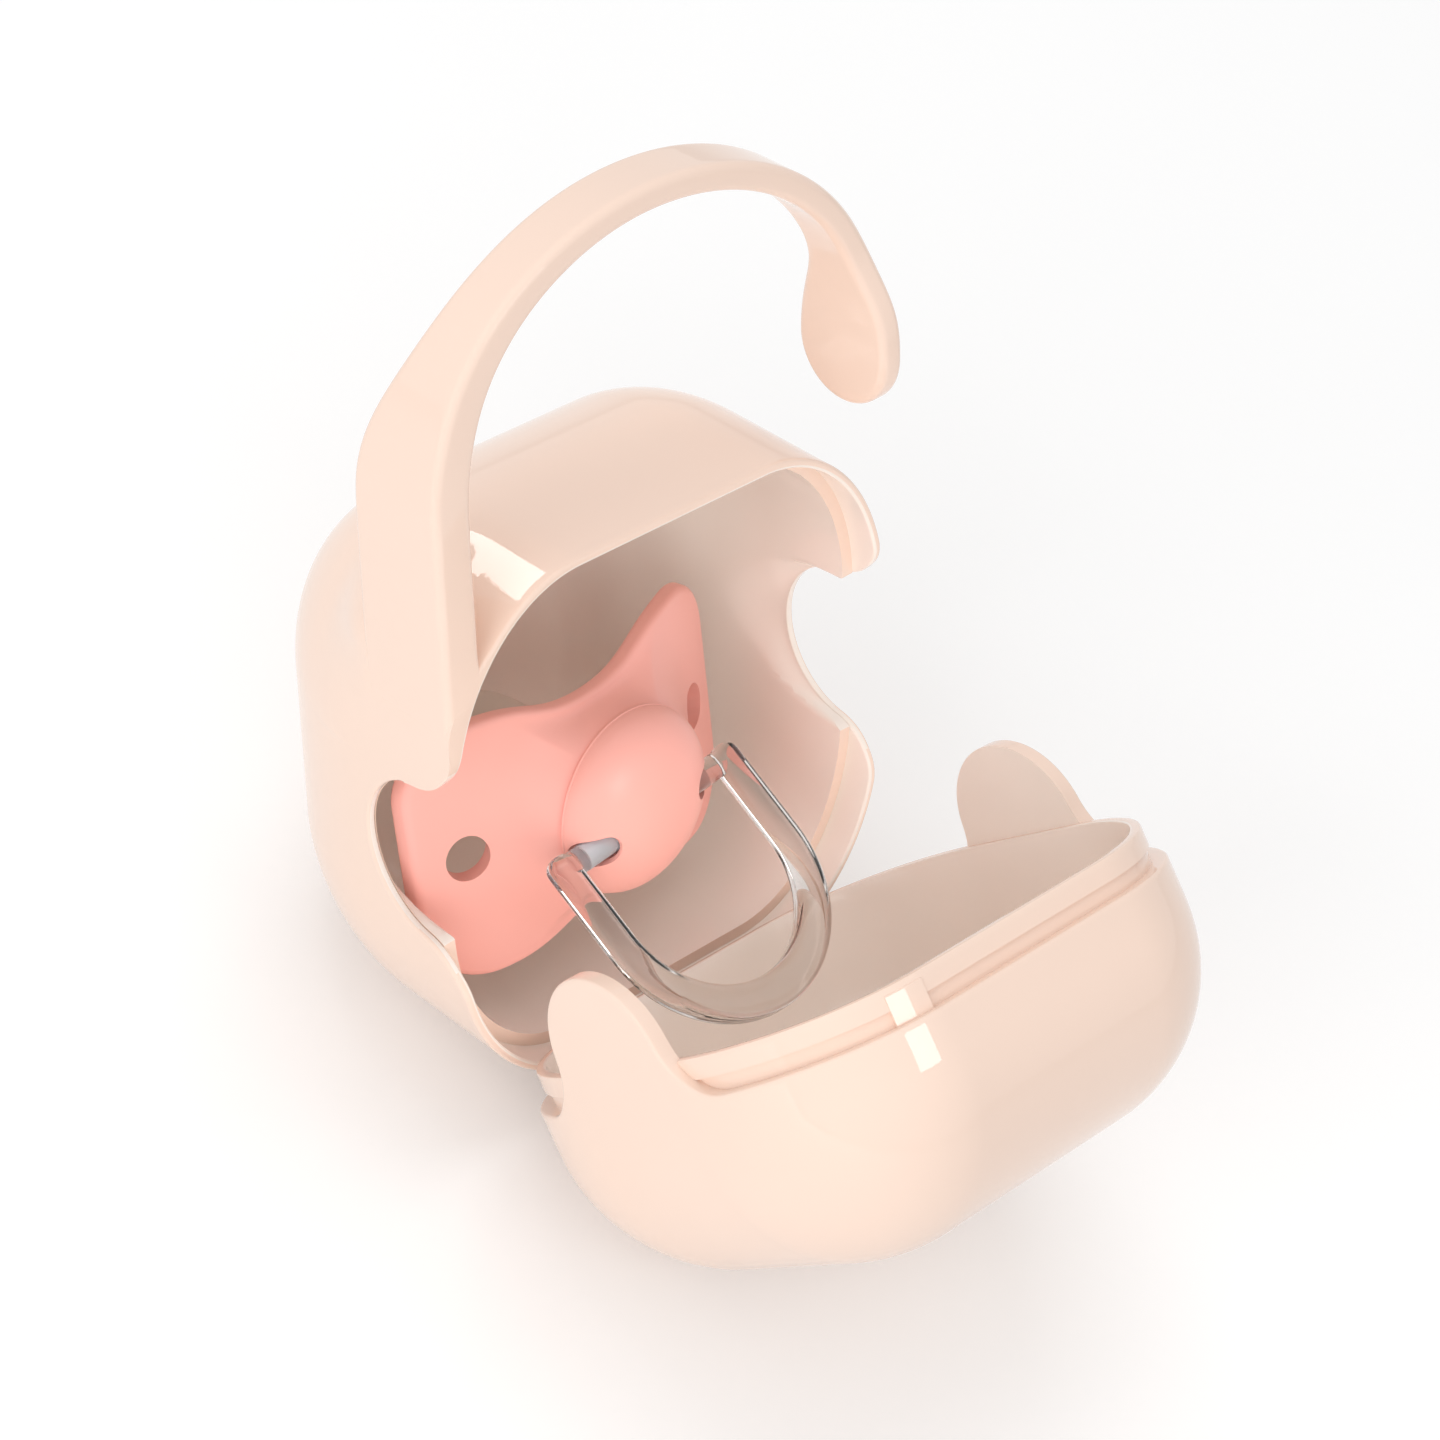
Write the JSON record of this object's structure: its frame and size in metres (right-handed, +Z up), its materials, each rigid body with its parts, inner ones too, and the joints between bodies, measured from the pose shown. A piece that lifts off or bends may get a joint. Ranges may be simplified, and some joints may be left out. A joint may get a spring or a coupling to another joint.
{
  "type": "pacifier case",
  "caption": "Rounded snap-together pacifier case standing open, with a hook handle over its top and a pacifier with a swinging ring lying in the rear shell.",
  "frame": {"origin": "on the table under the middle of the bounding box of the open case", "axes": "+Z up from the table, -Y towards the opened front shell, +X to the right seen from the front"},
  "size_m": [0.058, 0.0962, 0.0969],
  "materials": {
    "case_plastic": "gloss",
    "pacifier_plastic": "satin",
    "ring_clear": "clear gloss",
    "teat_silicone": "translucent satin",
    "plug_plastic": "satin"
  },
  "bodies": {
    "rear": {"rear_shell": "case_plastic"},
    "front": {"front_shell": "case_plastic"},
    "pacifier": {"pacifier_shield": "pacifier_plastic", "pacifier_knob": "pacifier_plastic", "pacifier_plug": "plug_plastic", "pacifier_teat": "teat_silicone"},
    "ring": {"pacifier_ring": "ring_clear"}
  },
  "joints": [
    {"name": "front_shell_hinge", "type": "hinge", "parent": "rear", "child": "front", "pos_m": [0, -0.00136, 0.00585], "axis": [-1, 0, 0], "range_deg": [0, 53.5]},
    {"name": "pacifier_lift_out", "type": "slide", "parent": "rear", "child": "pacifier", "axis": [0, -0.4381, 0.8989], "range_m": [0, 0.066]},
    {"name": "ring_pivot", "type": "hinge", "parent": "pacifier", "child": "ring", "pos_m": [-0.00138, 0.00953, 0.02771], "axis": [-0.9914, -0.1241, 0.0404], "range_deg": [0, 94]}
  ]
}
